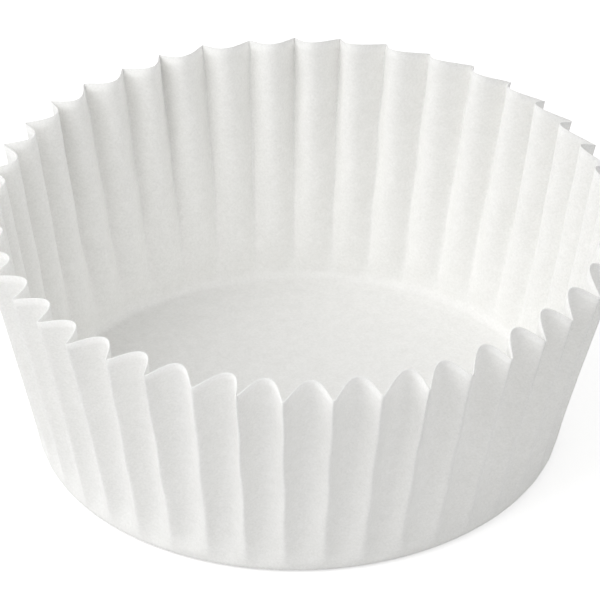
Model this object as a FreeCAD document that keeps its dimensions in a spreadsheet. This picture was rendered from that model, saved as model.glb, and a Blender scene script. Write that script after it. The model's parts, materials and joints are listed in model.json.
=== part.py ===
"""A fluted paper baking cup: one disc of greaseproof paper pressed into a cup.

The flat floor turns up through a rounded corner into a flaring wall. The paper that the
flare does not need is taken up by equal flutes: sharp ridges outside, round lobes inside.
One flute is the space between an outer and an inner form, which are the same form built
twice, one thickness of paper apart. The cup is one sheet, so its flutes join into one solid.

Frame: millimetres, +Z up, origin at the middle of the floor's underside.
"""
import FreeCAD, Part
import math
import os
import Sketcher

NODE = "liner"
AXIS_Y = FreeCAD.Vector(0, 1, 0)
AXIS_Z = FreeCAD.Vector(0, 0, 1)

# Driving sizes, in millimetres and degrees.
SIZES = [
    ("flute_count", 43, "flutes round the wall"),
    ("rim_radius", 33.0, "axis to a ridge tip at the rim"),
    ("overall_height", 26.5, "underside of the floor to the top of a lobe"),
    ("rim_drop", 1.1, "how much lower the rim is at a ridge than at a lobe"),
    ("floor_radius", 25.0, "flat part of the floor"),
    ("corner_radius", 2.0, "outside of the corner between floor and wall"),
    ("paper_thickness", 0.12, "the sheet"),
    ("flute_depth", 2.5, "ridge tip to lobe at the rim, along a radius"),
    ("flank_angle", 15.0, "opening of a flute's flank from the flute's middle plane"),
    ("first_flute_angle", 3.77, "direction of the first lobe, about +Z from +X"),
    ("cutting_margin", 0.6, "how far a block or a cut runs past the face it makes"),
]

# Sizes that follow from the driving ones.
DERIVED = [
    ("half_pitch", "180 / flute_count", "half the angle of one flute"),
    ("rim_height", "overall_height - rim_drop", "underside to a ridge tip"),
    ("foot_apothem", "floor_radius + corner_radius", "axis to the foot of a lobe"),
    ("foot_radius", "foot_apothem / cos(half_pitch)", "axis to the foot of a ridge"),
    ("foot_chord", "foot_apothem * tan(half_pitch)", "half the width of a flute at its foot"),
    ("rim_chord", "rim_radius * sin(half_pitch)", "half the width of a flute at the rim"),
    ("rim_arrow", "flute_depth - rim_radius * (1 - cos(half_pitch))", "flute depth under its chord"),
    ("wall_rise", "rim_height - corner_radius", "height of the fluted wall at a ridge"),
    ("ridge_lean", "atan((rim_radius - foot_radius) / wall_rise)", "lean of a ridge"),
    ("trial_radius",
     "(rim_chord * cos(flank_angle) - rim_arrow * cos(ridge_lean) * sin(flank_angle))"
     " / (1 - sin(flank_angle))", "lobe radius if the lobe leaned as the ridge does"),
    ("lobe_lean",
     "atan((rim_radius - flute_depth + trial_radius / cos(ridge_lean) - foot_apothem"
     " - sqrt(trial_radius ^ 2 - foot_chord ^ 2) / cos(ridge_lean)) / wall_rise)",
     "lean of a lobe's axis, so that its ridges start at the floor's corner"),
    ("lobe_radius",
     "(rim_chord * cos(flank_angle) - rim_arrow * cos(lobe_lean) * sin(flank_angle))"
     " / (1 - sin(flank_angle))", "outside face of a lobe, so that its ridges end at the rim"),
    ("lobe_axis_radius", "rim_radius - flute_depth + lobe_radius / cos(lobe_lean)",
     "cup's axis to a lobe's axis, at the height of the ridge tips"),
    ("lobe_top_radius",
     "rim_radius - flute_depth + rim_drop * tan(lobe_lean) - paper_thickness / cos(lobe_lean)",
     "cup's axis to the inside face of a lobe's top"),
    ("rim_slope", "atan(rim_drop / (rim_radius * cos(half_pitch) - lobe_top_radius))",
     "fall of the rim from a lobe to a ridge"),
    ("outside", "rim_radius + rim_drop + 2 * cutting_margin", "a radius outside everything"),
    ("block_width", "2 * outside * tan(half_pitch) + cutting_margin", "width of one flute's blocks"),
]

doc = FreeCAD.newDocument("baking_cup")
sheet = doc.addObject("Spreadsheet::Sheet", "sizes")


def fill_sheet():
    """Writes the driving sizes as plain numbers and the others as formulas."""
    for row, (alias, value, note) in enumerate(SIZES + DERIVED, start=1):
        sheet.set("A%d" % row, alias)
        sheet.set("B%d" % row, "=" + value if isinstance(value, str) else str(value))
        sheet.setAlias("B%d" % row, alias)
        sheet.set("C%d" % row, note)
        doc.recompute()


def size(name):
    """A size from the sheet as a plain number, an angle in degrees."""
    value = sheet.get(name)
    return float(getattr(value, "Value", value))


def origin_part(body, role):
    """One of the body's own origin planes or axes."""
    return next(part for part in body.Origin.OriginFeatures if part.Role == role)


def new_sketch(body, name, role):
    """A sketch on one of the body's own origin planes."""
    sketch = body.newObject("Sketcher::SketchObject", name)
    sketch.AttachmentSupport = (origin_part(body, role), [""])
    sketch.MapMode = "FlatFace"
    return sketch


def join(sketch, *pairs):
    """Joins the end of each first line to the start of its second."""
    for first, second in pairs:
        sketch.addConstraint(Sketcher.Constraint("Coincident", first, 2, second, 1))


def drive(sketch, name, formula, *constraint):
    """Adds a dimension with a name and ties it to a formula on the sheet's sizes."""
    index = sketch.addConstraint(Sketcher.Constraint(*constraint))
    sketch.renameConstraint(index, name)
    sketch.setExpression("Constraints." + name, formula)


def point(x, y):
    """A point in a sketch's own plane."""
    return FreeCAD.Vector(x, y, 0)


def polar(radius, degrees):
    """A point in a sketch's own plane, from a radius and a direction."""
    return point(radius * math.cos(math.radians(degrees)), radius * math.sin(math.radians(degrees)))


def formula_value(formula):
    """The value of a formula on the sheet's sizes."""
    return float(sheet.evalExpression(formula))


def raise_both_ways(body, name, sketch):
    """Pads a side view of one flute, both ways from the flute's middle plane."""
    feature = body.newObject("PartDesign::Pad", name)
    feature.Profile = sketch
    feature.SideType = "Symmetric"
    feature.setExpression("Length", "sizes.block_width")
    doc.recompute()


def cut_both_ways(body, name, sketch):
    """Cuts a sketch right through the body, both ways from the sketch's plane."""
    before = body.Shape.Volume
    feature = body.newObject("PartDesign::Pocket", name)
    feature.Profile = sketch
    feature.Type = "ThroughAll"
    feature.SideType = "Symmetric"
    doc.recompute()
    if not body.Shape.Volume < before:
        raise RuntimeError(name + " cuts nothing")


def add_ridge_block(body, top):
    """The block that one flute is cut into: its outer side leans as the ridges do."""
    inner = size("floor_radius")
    foot = size("foot_apothem") + size("cutting_margin")
    low = size("corner_radius")
    high = formula_value(top)
    lean = size("ridge_lean")
    corners = [point(inner, low), point(foot, low),
               point(foot + (high - low) * math.tan(math.radians(lean)), high),
               point(inner, high), point(inner, low)]
    bottom, side, level, inside = range(4)
    sketch = new_sketch(body, body.Name + "_block_sketch", "XZ_Plane")
    for start, end in zip(corners, corners[1:]):
        sketch.addGeometry(Part.LineSegment(start, end))
    join(sketch, (bottom, side), (side, level), (level, inside), (inside, bottom))
    for line in (bottom, level):
        sketch.addConstraint(Sketcher.Constraint("Horizontal", line))
    sketch.addConstraint(Sketcher.Constraint("Vertical", inside))
    drive(sketch, "inner", "sizes.floor_radius", "DistanceX", -1, 1, bottom, 1, inner)
    drive(sketch, "low", "sizes.corner_radius", "DistanceY", -1, 1, bottom, 1, low)
    drive(sketch, "foot", "sizes.foot_apothem + sizes.cutting_margin",
          "DistanceX", -1, 1, side, 1, foot)
    drive(sketch, "lean", "90 deg - sizes.ridge_lean", "Angle", -1, 1, side, 1, math.radians(90 - lean))
    drive(sketch, "high", top, "DistanceY", -1, 1, level, 1, high)
    raise_both_ways(body, body.Name + "_block", sketch)


def cut_flute(body, inset):
    """A round lobe between two flanks that open outward, along the lobe's leaning axis.

    The flanks of neighbouring flutes meet in the ridges.
    """
    radius = size("lobe_radius") + formula_value(inset)
    flank = size("flank_angle")
    reach = size("flute_depth") + 2 * size("cutting_margin")
    touch = polar(radius, 90 + flank)
    far = point(reach, touch.y + (reach - touch.x) * math.tan(math.radians(flank)))
    sketch = new_sketch(body, body.Name + "_flute_sketch", "XY_Plane")
    sketch.AttachmentOffset = FreeCAD.Placement(point(0, 0), FreeCAD.Rotation(AXIS_Y, 1))
    sketch.setExpression("AttachmentOffset.Base.x", "sizes.lobe_axis_radius")
    sketch.setExpression("AttachmentOffset.Base.z", "sizes.rim_height")
    sketch.setExpression("AttachmentOffset.Rotation.Angle", "sizes.lobe_lean")
    lobe, lower, back, upper = range(4)
    circle = Part.Circle(point(0, 0), AXIS_Z, radius)
    sketch.addGeometry(Part.ArcOfCircle(circle, math.radians(90 + flank), math.radians(270 - flank)))
    sketch.addGeometry(Part.LineSegment(point(touch.x, -touch.y), point(far.x, -far.y)))
    sketch.addGeometry(Part.LineSegment(point(far.x, -far.y), far))
    sketch.addGeometry(Part.LineSegment(far, touch))
    sketch.addConstraint(Sketcher.Constraint("Coincident", lobe, 3, -1, 1))
    sketch.addConstraint(Sketcher.Constraint("Tangent", lobe, 2, lower, 1))
    sketch.addConstraint(Sketcher.Constraint("Tangent", upper, 2, lobe, 1))
    join(sketch, (lower, back), (back, upper))
    sketch.addConstraint(Sketcher.Constraint("Vertical", back))
    sketch.addConstraint(Sketcher.Constraint("Equal", lower, upper))
    drive(sketch, "lobe_radius", "sizes.lobe_radius + " + inset, "Radius", lobe, radius)
    drive(sketch, "reach", "sizes.flute_depth + 2 * sizes.cutting_margin",
          "DistanceX", -1, 1, back, 1, reach)
    drive(sketch, "flank", "-sizes.flank_angle", "Angle", -1, 1, lower, 1, math.radians(-flank))
    cut_both_ways(body, body.Name + "_flute", sketch)


def add_core(body, inset, top):
    """The floor, the rounded corner and the upright foot of the lobe, filled to the axis."""
    floor = size("floor_radius")
    centre_height = size("corner_radius")
    radius = centre_height - formula_value(inset)
    low = formula_value(inset)
    high = formula_value(top)
    foot = floor + radius
    circle = Part.Circle(point(floor, centre_height), AXIS_Z, radius)
    corners = [point(foot, centre_height), point(foot, high), point(0, high),
               point(0, low), point(floor, low)]
    bend, side, level, axis, bottom = range(5)
    sketch = new_sketch(body, body.Name + "_core_sketch", "XZ_Plane")
    sketch.addGeometry(Part.ArcOfCircle(circle, math.radians(270), math.radians(360)))
    for start, end in zip(corners, corners[1:]):
        sketch.addGeometry(Part.LineSegment(start, end))
    join(sketch, (bend, side), (side, level), (level, axis), (axis, bottom), (bottom, bend))
    for line in (level, bottom):
        sketch.addConstraint(Sketcher.Constraint("Horizontal", line))
    for line in (side, axis):
        sketch.addConstraint(Sketcher.Constraint("Vertical", line))
    sketch.addConstraint(Sketcher.Constraint("Vertical", bend, 3, bend, 1))
    sketch.addConstraint(Sketcher.Constraint("Horizontal", bend, 3, bend, 2))
    sketch.addConstraint(Sketcher.Constraint("PointOnObject", axis, 1, -2))
    drive(sketch, "bend_radius", "sizes.corner_radius - " + inset, "Radius", bend, radius)
    drive(sketch, "floor", "sizes.floor_radius", "DistanceX", -1, 1, bend, 3, floor)
    drive(sketch, "bend_up", "sizes.corner_radius", "DistanceY", -1, 1, bend, 3, centre_height)
    drive(sketch, "high", top, "DistanceY", -1, 1, level, 1, high)
    raise_both_ways(body, body.Name + "_core", sketch)


def cut_rim(body):
    """The rim, which falls from the lobe to the ridges."""
    lobe = size("lobe_top_radius")
    high = size("overall_height")
    outside = size("outside")
    above = high + size("cutting_margin")
    slope = math.radians(size("rim_slope"))
    corners = [point(lobe, high), point(outside, high - (outside - lobe) * math.tan(slope)),
               point(outside, above), point(lobe, above), point(lobe, high)]
    fall, side, level, inside = range(4)
    sketch = new_sketch(body, body.Name + "_rim_sketch", "XZ_Plane")
    for start, end in zip(corners, corners[1:]):
        sketch.addGeometry(Part.LineSegment(start, end))
    join(sketch, (fall, side), (side, level), (level, inside), (inside, fall))
    sketch.addConstraint(Sketcher.Constraint("Horizontal", level))
    for line in (side, inside):
        sketch.addConstraint(Sketcher.Constraint("Vertical", line))
    drive(sketch, "slope", "-sizes.rim_slope", "Angle", -1, 1, fall, 1, -slope)
    drive(sketch, "lobe", "sizes.lobe_top_radius", "DistanceX", -1, 1, fall, 1, lobe)
    drive(sketch, "high", "sizes.overall_height", "DistanceY", -1, 1, fall, 1, high)
    drive(sketch, "outside", "sizes.outside", "DistanceX", -1, 1, side, 1, outside)
    drive(sketch, "above", "sizes.overall_height + sizes.cutting_margin",
          "DistanceY", -1, 1, level, 1, above)
    cut_both_ways(body, body.Name + "_rim", sketch)


def build_form(name, inset, top):
    """One flute's worth of the cup as a filled block, its faces set in by a formula."""
    body = doc.addObject("PartDesign::Body", name)
    add_ridge_block(body, top)
    cut_flute(body, inset)
    add_core(body, inset, top)
    return body


def build_wedge():
    """The share of the round that one flute takes."""
    body = doc.addObject("PartDesign::Body", "flute_share")
    half = math.radians(size("half_pitch"))
    outside = size("outside")
    corners = [point(0, 0), point(outside, -outside * math.tan(half)),
               point(outside, outside * math.tan(half)), point(0, 0)]
    lower, back, upper = range(3)
    sketch = new_sketch(body, "share_sketch", "XY_Plane")
    sketch.setExpression("AttachmentOffset.Base.z", "-sizes.cutting_margin")
    for start, end in zip(corners, corners[1:]):
        sketch.addGeometry(Part.LineSegment(start, end))
    join(sketch, (lower, back), (back, upper), (upper, lower))
    sketch.addConstraint(Sketcher.Constraint("Coincident", lower, 1, -1, 1))
    sketch.addConstraint(Sketcher.Constraint("Vertical", back))
    sketch.addConstraint(Sketcher.Constraint("Equal", lower, upper))
    drive(sketch, "half_pitch", "-sizes.half_pitch", "Angle", -1, 1, lower, 1, -half)
    drive(sketch, "outside", "sizes.outside", "DistanceX", -1, 1, back, 1, outside)
    feature = body.newObject("PartDesign::Pad", "share_pad")
    feature.Profile = sketch
    feature.setExpression("Length", "sizes.overall_height + 3 * sizes.cutting_margin")
    doc.recompute()
    return body


def boolean(kind, name, base, tool):
    """A Part boolean of two objects."""
    result = doc.addObject(kind, name)
    result.Base = base
    result.Tool = tool
    doc.recompute()
    return result


def all_round(shape):
    """One solid from a flute repeated about the cup's axis."""
    count = int(size("flute_count"))
    flutes = []
    for place in range(count):
        flute = shape.copy()
        flute.rotate(point(0, 0), AXIS_Z, place * 360 / count)
        flutes.append(flute)
    return flutes[0].fuse(flutes[1:]).removeSplitter()


def check_model(part):
    """Stops the build if any object failed or the cup is not one valid solid."""
    for item in doc.Objects:
        if "Invalid" in item.State or "Error" in item.State:
            raise RuntimeError(item.Name + " failed: " + ", ".join(item.State))
    if part.Shape.isNull() or not part.Shape.isValid() or len(part.Shape.Solids) != 1:
        raise RuntimeError(part.Name + " is not one valid solid")


fill_sheet()
outer_form = build_form("outer_form", "0", "sizes.overall_height")
cut_rim(outer_form)
inner_form = build_form("inner_form", "sizes.paper_thickness",
                        "sizes.overall_height + sizes.cutting_margin")
folded_sheet = boolean("Part::Cut", "folded_sheet", outer_form, inner_form)
one_flute = boolean("Part::Common", "one_flute", folded_sheet, build_wedge())

# Part has no array of its own that joins its copies, so the ring of flutes is fused here.
liner = doc.addObject("Part::Feature", NODE)
liner.Label = NODE
liner.Shape = all_round(one_flute.Shape)
liner.Placement = FreeCAD.Placement(point(0, 0), FreeCAD.Rotation(AXIS_Z, size("first_flute_angle")))
doc.recompute()

check_model(liner)
os.makedirs("parts", exist_ok=True)
liner.Shape.exportStep("parts/%s.step" % NODE)
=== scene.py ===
"""The looks of a fluted paper baking cup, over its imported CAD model.

One thin sheet of paper replaces the CAD solid. It is laid out flat and folded: at each
height the flutes take up just the paper that the smaller round of the wall leaves over.

Frame: metres, +Z up, origin at the middle of the floor's underside. The photograph is
taken from -Y.
"""

import json
import math

import bpy
import numpy as np
from mathutils import Matrix, Vector


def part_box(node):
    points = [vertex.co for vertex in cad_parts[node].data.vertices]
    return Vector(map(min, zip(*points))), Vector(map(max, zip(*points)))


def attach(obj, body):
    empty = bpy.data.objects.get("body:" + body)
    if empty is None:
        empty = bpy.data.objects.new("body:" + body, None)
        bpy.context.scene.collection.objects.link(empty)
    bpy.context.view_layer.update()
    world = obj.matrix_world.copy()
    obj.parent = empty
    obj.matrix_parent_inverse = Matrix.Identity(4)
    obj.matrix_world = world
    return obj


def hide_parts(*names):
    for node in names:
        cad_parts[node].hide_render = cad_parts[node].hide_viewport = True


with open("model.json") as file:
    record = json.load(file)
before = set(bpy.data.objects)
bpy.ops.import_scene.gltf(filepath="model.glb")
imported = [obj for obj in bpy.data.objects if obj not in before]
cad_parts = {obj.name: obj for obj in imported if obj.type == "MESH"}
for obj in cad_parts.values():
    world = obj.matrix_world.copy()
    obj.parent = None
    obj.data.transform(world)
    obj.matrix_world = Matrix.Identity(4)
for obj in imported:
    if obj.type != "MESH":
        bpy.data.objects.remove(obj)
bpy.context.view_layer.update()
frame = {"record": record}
cup_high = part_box("liner")[1]
rest = frame["record"]["mounts"][0]

# The cup. Its side view runs from the flat floor round the corner and up a ridge.
FLUTES = 43
FIRST_RIDGE = math.radians(7.116)   # direction of a ridge, about +Z from +X
RIM_RADIUS = cup_high[1]            # axis to a ridge tip
HEIGHT = cup_high[2]                # underside of the floor to the top of a lobe
FLOOR_GIVES = 0.00037               # how far the floor's edge is pressed past the CAD's
FLOOR_RADIUS = rest["dims"]["r_mm"] / 1000 + FLOOR_GIVES
CORNER_RADIUS = 0.0013
RIM_DROP = 0.0011                   # how much lower the rim is at a ridge than at a lobe
PAPER = 0.00010                     # thickness of the sheet

# How the sheet folds into flutes.
STEEPEST_FLANK = math.radians(85)   # the most that a flank turns from the flute's chord
SLOPE_TRIALS = 300                  # flank slopes that are tried to use up the paper
RIM_SHARPNESS = 4.6                 # how soon a lobe's top turns into its flanks, at the rim
FOOT_SHARPNESS = 1.8                # and at the foot
TAKEN_UP = 0.94                     # share of the spare paper that goes into the flutes
FADE_LOW = 0.0003                   # height where the flutes begin
FADE_HIGH = 0.0036                  # height where they have all their paper
ROUND_FOOT = 0.125                  # share of the wall over which a lobe's foot is round
FOOT_SOFTNESS = 0.50                # how far a ridge gives way to its sides in one pass
RIM_SOFTNESS = 0.25
SOFTENING_PASSES = 3

# How unevenly the press and the hand leave it.
PITCH_SPREAD = 0.020                # of the pitch
SPREAD_AT_FOOT = 0.35               # share of that spread that starts low on the wall
RIDGE_SPREAD = 0.00016              # outward, at the rim
RIM_SPREAD = 0.00008                # upward, at the rim
SKEW = 0.20                         # how far a lobe leans over, by its depth
SKEW_SPREAD = 0.06
UNEVEN_DROP = 0.40                  # how much more the rim drops on the right
RIM_SHIFT = 0.00058                 # how far the rim stands to the right of the floor
RIM_TILT = -0.0216                  # fall of the rim to the right
WAVE_HEIGHT = 0.00010               # how far a ridge swings to its sides
WEAKEST_WAVE = 0.4                  # the least share of that swing
WAVES_UP = 2.6                      # swings from the foot to the rim
SEED = 8

# Mesh density.
STEPS_PER_FLUTE = 20
SUBSTEPS = 6
CORNER_ROWS = 9
WALL_ROWS = 30
ROWS_CROWD = 1.25                   # above 1, the wall's rows are closer near the foot
FLOOR_RINGS = 6

# The camera of the photograph.
VIEW_DISTANCE = 1.0
VIEW_ELEVATION = math.radians(34.24)
VIEW_ROLL = math.radians(-0.69)
AIM = Vector((0.00025, 0, 0.01507))
SENSOR = 36.0
LENS = 593.9

# The studio.
FLOOR_SIZE = 4.0
FLOOR_COLOUR = (0.72, 0.72, 0.72, 1)
WHITE_LIFT = 0.57                   # added to the floor where the camera sees it
SKY_COLOUR = (1, 1, 1, 1)
SKY_LIGHT = 0.62                    # the sky as a light
SKY_SEEN = 1.0                      # the sky as a background
KEY_DISTANCE = 0.75
KEY_FROM = math.radians(-62)        # from -Y round to the left
KEY_UP = math.radians(50)
KEY_SIZE = 0.65
KEY_POWER = 3.4

# The paper.
PAPER_COLOUR = (0.958, 0.954, 0.933, 1)
PAPER_DARKER = (0.849, 0.847, 0.824, 1)
PAPER_SHADER = {
    "Roughness": 0.62,
    "IOR": 1.45,
    "Specular IOR Level": 0.3,
    "Subsurface Weight": 0.68,
    "Subsurface Scale": 0.0003,
    "Subsurface Radius": (1, 1, 1),
}
CLOUD_SCALE = 700.0
FIBRE_SCALE = 4200.0
FIBRE_SHARE = 3.0                   # weight of the fibres beside the clouds
GRAIN_LOW = 1.4                     # clouds and fibres together, where darkest
GRAIN_HIGH = 2.6                    # and where lightest
BUMP_STRENGTH = 0.35
BUMP_HEIGHT = 0.00002


def meridian():
    """The line of a ridge from the floor's edge to the rim, as a side view.

    Gives radius, height, the direction of the paper, and the radius on the flat disc.
    """
    ridge_top = HEIGHT - RIM_DROP
    run = RIM_RADIUS - FLOOR_RADIUS - CORNER_RADIUS
    end_turn = math.pi / 2 - math.atan(run / (ridge_top - CORNER_RADIUS))
    turns = np.linspace(0, end_turn, CORNER_ROWS)
    radius = FLOOR_RADIUS + CORNER_RADIUS * np.sin(turns)
    height = CORNER_RADIUS * (1 - np.cos(turns))
    flat = FLOOR_RADIUS + CORNER_RADIUS * turns
    wall = np.linspace(0, 1, WALL_ROWS + 1)[1:] ** ROWS_CROWD
    wall_length = math.hypot(RIM_RADIUS - radius[-1], ridge_top - height[-1])
    return (np.append(radius, radius[-1] + (RIM_RADIUS - radius[-1]) * wall),
            np.append(height, height[-1] + (ridge_top - height[-1]) * wall),
            np.append(turns, np.full(WALL_ROWS, end_turn)),
            np.append(flat, flat[-1] + wall_length * wall))


def ridge_lines(rng, radius, height, up):
    """The ridges as points, one row for each height, each with its small unevenness."""
    pitch = 2 * math.pi / FLUTES
    shift = rng.normal(0, PITCH_SPREAD, FLUTES) * pitch
    phase = rng.uniform(0, 2 * math.pi, FLUTES)
    wave = rng.uniform(WEAKEST_WAVE, 1, FLUTES) * WAVE_HEIGHT
    out = rng.normal(0, RIDGE_SPREAD, FLUTES)
    rise = rng.normal(0, RIM_SPREAD, FLUTES)
    column = up[:, None]
    belly = 4 * column * (1 - column)
    swing = wave * belly * np.sin(WAVES_UP * 2 * math.pi * column + phase)
    spread = SPREAD_AT_FOOT * column ** 0.25 + (1 - SPREAD_AT_FOOT) * column
    angle = FIRST_RIDGE + pitch * np.arange(FLUTES) + shift * spread + swing / radius[:, None]
    reach = radius[:, None] + out * column ** 2
    level = height[:, None] + rise * column ** 2
    return np.stack([reach * np.cos(angle), reach * np.sin(angle), level], axis=-1)


def lobe_section(half_chord, half_paper, sharpness):
    """The cross-section of lobes that take up their paper between two ridges.

    Gives how far each step lies aside of the lobe's middle and how far below its top. The
    paper turns fastest at the middle of the lobe and is nearly straight at the ridges.
    """
    way = np.linspace(0, 1, STEPS_PER_FLUTE // 2 * SUBSTEPS + 1)
    middles = (way[1:] + way[:-1]) / 2
    steepest = np.linspace(0, STEEPEST_FLANK, SLOPE_TRIALS)
    asides, falls = [], []
    for chord, paper, power in zip(half_chord, half_paper, sharpness):
        turned = 1 - (1 - middles) ** power
        shortening = np.cos(steepest[:, None] * turned).mean(axis=1)
        slope = np.interp(paper / chord, 1 / shortening, steepest)[:, None] * turned
        step = (chord / np.cos(slope).mean(axis=-1) / len(middles))[:, None]
        start = np.zeros_like(step)
        aside = np.hstack([start, np.cumsum(np.cos(slope) * step, axis=-1)])
        fall = np.hstack([start, np.cumsum(np.sin(slope) * step, axis=-1)])
        asides.append(aside[:, ::SUBSTEPS])
        falls.append(fall[:, ::SUBSTEPS])
    return np.array(asides), np.array(falls)


def flute_sections(half_chord, radius, height, flat, up):
    """Whole flutes, ridge to ridge: how far each step lies aside and how far inside."""
    fade = np.clip((height - FADE_LOW) / (FADE_HIGH - FADE_LOW), 0, 1)
    spare = (flat / radius - 1) * TAKEN_UP * fade ** 2 * (3 - 2 * fade)
    even_chord = radius * math.sin(math.pi / FLUTES)
    half_paper = np.maximum((even_chord * (1 + spare))[:, None], half_chord)
    sharpness = FOOT_SHARPNESS + (RIM_SHARPNESS - FOOT_SHARPNESS) * up
    aside, fall = lobe_section(half_chord, half_paper, sharpness)
    mirrored = slice(None, 0, -1)
    both_asides = np.concatenate([-aside[..., mirrored], aside[..., :-1]], axis=-1)
    both_falls = np.concatenate([fall[..., mirrored], fall[..., :-1]], axis=-1)
    return both_asides, fall[..., -1:] - both_falls


def soften(grid, up):
    """Draws each column of points towards its neighbours, which rounds the ridges."""
    softness = (FOOT_SOFTNESS + (RIM_SOFTNESS - FOOT_SOFTNESS) * up)[:, None, None]
    for _ in range(SOFTENING_PASSES):
        beside = (np.roll(grid, 1, axis=1) + np.roll(grid, -1, axis=1)) / 2
        grid = grid + softness * (beside - grid)
    return grid


def folded_wall(rng):
    """The corner and the wall as a grid of points: rows up, columns round."""
    radius, height, turns, flat = meridian()
    corner_top = flat[CORNER_ROWS - 1]
    up = np.clip((flat - corner_top) / (flat[-1] - corner_top), 0, 1)
    ridges = ridge_lines(rng, radius, height, up)
    following = np.roll(ridges, -1, axis=1)
    middle = (ridges + following) / 2
    across = following - ridges
    across[..., 2] = 0
    chord = np.linalg.norm(across, axis=-1)
    across = across / chord[..., None]
    aside, inside = flute_sections(chord / 2, radius, height, flat, up)
    depth = inside.max(axis=-1, keepdims=True)

    column = up[:, None, None]
    turn = turns[:, None, None]
    level = np.stack([-across[..., 1], across[..., 0], np.zeros_like(chord)], axis=-1)
    inward = level * np.sin(turn) + np.array([0, 0, 1]) * np.cos(turn)
    skew = rng.normal(SKEW, SKEW_SPREAD, FLUTES)[None, :, None] * column
    arch = 1 - (aside / (chord / 2)[..., None]) ** 2
    bulge = radius * (1 - math.cos(math.pi / FLUTES)) * np.clip(1 - up / ROUND_FOOT, 0, 1)
    points = (middle[:, :, None] + across[:, :, None] * (aside + skew * inside)[..., None]
              + inward[:, :, None] * inside[..., None]
              - level[:, :, None] * (bulge[:, None, None] * arch)[..., None])

    side = (middle[-1, :, 0] / RIM_RADIUS)[:, None]
    lift = RIM_DROP * (1 + UNEVEN_DROP * side) - depth[-1] * math.cos(turns[-1])
    share = inside / np.maximum(depth, depth[-1].min() / 100)
    points[..., 2] += lift * share * column ** 2
    points[..., 0] += RIM_SHIFT * column
    points[..., 2] += RIM_TILT * points[..., 0] * column
    return soften(points.reshape(len(radius), FLUTES * STEPS_PER_FLUTE, 3), up)


def cup_mesh():
    """The sheet's outer face: the floor's rings and the folded wall, as one mesh."""
    wall = folded_wall(np.random.default_rng(SEED))
    rings = wall[0] * np.linspace(0, 1, FLOOR_RINGS + 1)[1:-1, None, None]
    grid = np.concatenate([rings, wall])
    rows, columns = grid.shape[:2]
    points = np.concatenate([[[0, 0, 0]], grid.reshape(-1, 3)])
    index = np.arange(rows * columns).reshape(rows, columns) + 1
    beside = np.roll(index, -1, axis=1)
    middle = np.stack([beside[0], index[0], np.zeros_like(index[0])], axis=-1)
    around = np.stack([beside[:-1], beside[1:], index[1:], index[:-1]], axis=-1)
    mesh = bpy.data.meshes.new("paper_cup")
    mesh.from_pydata(points.tolist(), [], middle.tolist() + around.reshape(-1, 4).tolist())
    mesh.validate()
    return mesh


def build_cup():
    """The paper cup as an object, with the sheet's thickness on its inside."""
    mesh = cup_mesh()
    mesh.polygons.foreach_set("use_smooth", [True] * len(mesh.polygons))
    mesh.materials.append(paper_material())
    cup = bpy.data.objects.new("paper_cup", mesh)
    bpy.context.scene.collection.objects.link(cup)
    sheet = cup.modifiers.new("sheet", "SOLIDIFY")
    sheet.thickness = PAPER
    sheet.offset = -1
    return cup


def add_node(tree, kind, **values):
    """A shader node with its properties and its inputs set by name."""
    node = tree.nodes.new(kind)
    for name, value in values.items():
        if hasattr(node, name):
            setattr(node, name, value)
        else:
            node.inputs[name.replace("_", " ")].default_value = value
    return node


def paper_material():
    """White greaseproof paper: matte, faintly clouded and fibrous, a little light through it."""
    material = bpy.data.materials.new("greaseproof_paper")
    material.use_nodes = True
    tree = material.node_tree
    link = tree.links.new
    shader = tree.nodes["Principled BSDF"]
    for name, value in PAPER_SHADER.items():
        shader.inputs[name].default_value = value
    place = add_node(tree, "ShaderNodeTexCoord")
    cloud = add_node(tree, "ShaderNodeTexNoise", Scale=CLOUD_SCALE, Detail=4.0, Roughness=0.6)
    fibre = add_node(tree, "ShaderNodeTexNoise", Scale=FIBRE_SCALE, Detail=4.0, Roughness=0.7)
    grain = add_node(tree, "ShaderNodeMath", operation="MULTIPLY_ADD")
    grain.inputs[1].default_value = FIBRE_SHARE
    spread = add_node(tree, "ShaderNodeMapRange", From_Min=GRAIN_LOW, From_Max=GRAIN_HIGH)
    tone = add_node(tree, "ShaderNodeMix", data_type="RGBA")
    tone.inputs[6].default_value = PAPER_DARKER
    tone.inputs[7].default_value = PAPER_COLOUR
    bump = add_node(tree, "ShaderNodeBump", Strength=BUMP_STRENGTH, Distance=BUMP_HEIGHT)
    link(place.outputs["Object"], cloud.inputs["Vector"])
    link(place.outputs["Object"], fibre.inputs["Vector"])
    link(fibre.outputs["Fac"], grain.inputs[0])
    link(cloud.outputs["Fac"], grain.inputs[2])
    link(grain.outputs[0], spread.inputs["Value"])
    link(spread.outputs[0], tone.inputs[0])
    link(tone.outputs[2], shader.inputs["Base Color"])
    link(grain.outputs[0], bump.inputs["Height"])
    link(bump.outputs["Normal"], shader.inputs["Normal"])
    return material


def background_ray(tree):
    """Is 1 for the rays that show a thing to the camera, straight or in a reflection."""
    path = add_node(tree, "ShaderNodeLightPath")
    seen = add_node(tree, "ShaderNodeMath", operation="MAXIMUM")
    tree.links.new(path.outputs["Is Camera Ray"], seen.inputs[0])
    tree.links.new(path.outputs["Is Glossy Ray"], seen.inputs[1])
    return seen.outputs[0]


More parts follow.
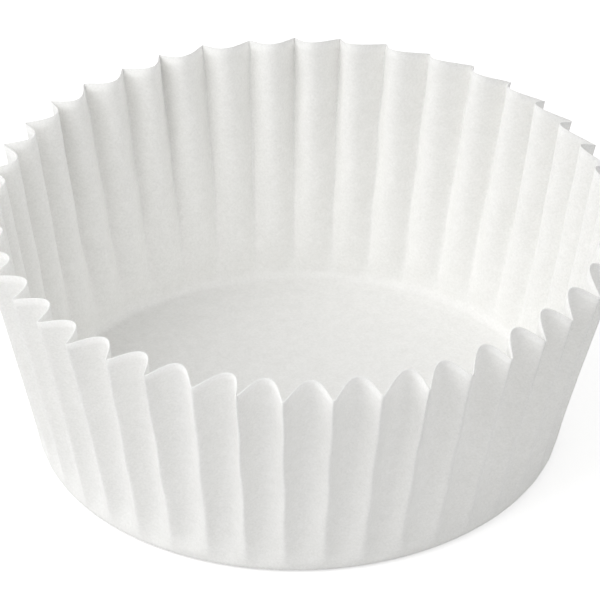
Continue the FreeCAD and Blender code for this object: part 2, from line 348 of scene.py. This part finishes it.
def build_floor():
    """A pale floor that looks white and keeps the cup's shadow."""
    bpy.ops.mesh.primitive_plane_add(size=FLOOR_SIZE)
    floor = bpy.context.object
    floor.name = "studio_floor"
    material = bpy.data.materials.new("studio_floor")
    material.use_nodes = True
    tree = material.node_tree
    link = tree.links.new
    tree.nodes.remove(tree.nodes["Principled BSDF"])
    matte = add_node(tree, "ShaderNodeBsdfDiffuse", Color=FLOOR_COLOUR)
    glow = add_node(tree, "ShaderNodeEmission")
    strength = add_node(tree, "ShaderNodeMath", operation="MULTIPLY")
    strength.inputs[1].default_value = WHITE_LIFT
    whole = add_node(tree, "ShaderNodeAddShader")
    link(background_ray(tree), strength.inputs[0])
    link(strength.outputs[0], glow.inputs["Strength"])
    link(matte.outputs[0], whole.inputs[0])
    link(glow.outputs[0], whole.inputs[1])
    link(whole.outputs[0], tree.nodes["Material Output"].inputs["Surface"])
    floor.data.materials.append(material)


def build_sky():
    """An even white sky, dimmer as a light than as a background."""
    world = bpy.data.worlds.new("studio")
    bpy.context.scene.world = world
    world.use_nodes = True
    tree = world.node_tree
    strength = add_node(tree, "ShaderNodeMapRange", To_Min=SKY_LIGHT, To_Max=SKY_SEEN)
    sky = tree.nodes["Background"]
    sky.inputs["Color"].default_value = SKY_COLOUR
    tree.links.new(background_ray(tree), strength.inputs["Value"])
    tree.links.new(strength.outputs[0], sky.inputs["Strength"])


def build_key():
    """A large soft lamp at the front left."""
    lamp = bpy.data.lights.new("key", "AREA")
    lamp.energy = KEY_POWER
    lamp.size = KEY_SIZE
    key = bpy.data.objects.new("key", lamp)
    way = Vector((math.sin(KEY_FROM) * math.cos(KEY_UP),
                  -math.cos(KEY_FROM) * math.cos(KEY_UP), math.sin(KEY_UP)))
    key.location = way * KEY_DISTANCE
    key.rotation_euler = (-way).to_track_quat("-Z", "Y").to_euler()
    bpy.context.scene.collection.objects.link(key)


def build_camera():
    """The photograph's view: from far off, a little above, turned slightly about its axis."""
    back = Vector((0, -math.cos(VIEW_ELEVATION), math.sin(VIEW_ELEVATION)))
    level = Vector((1, 0, 0))
    upward = back.cross(level)
    right = level * math.cos(VIEW_ROLL) + upward * math.sin(VIEW_ROLL)
    top = upward * math.cos(VIEW_ROLL) - level * math.sin(VIEW_ROLL)
    lens = bpy.data.cameras.new("camera")
    lens.lens = LENS
    lens.sensor_width = SENSOR
    camera = bpy.data.objects.new("camera", lens)
    turn = Matrix((right, top, back)).transposed().to_4x4()
    camera.matrix_world = Matrix.Translation(AIM + back * VIEW_DISTANCE) @ turn
    bpy.context.scene.collection.objects.link(camera)
    bpy.context.scene.camera = camera


build_camera()
build_sky()
build_key()
build_floor()
cup = build_cup()
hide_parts("liner")
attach(cup, "root")
bpy.context.scene.view_settings.view_transform = "Standard"
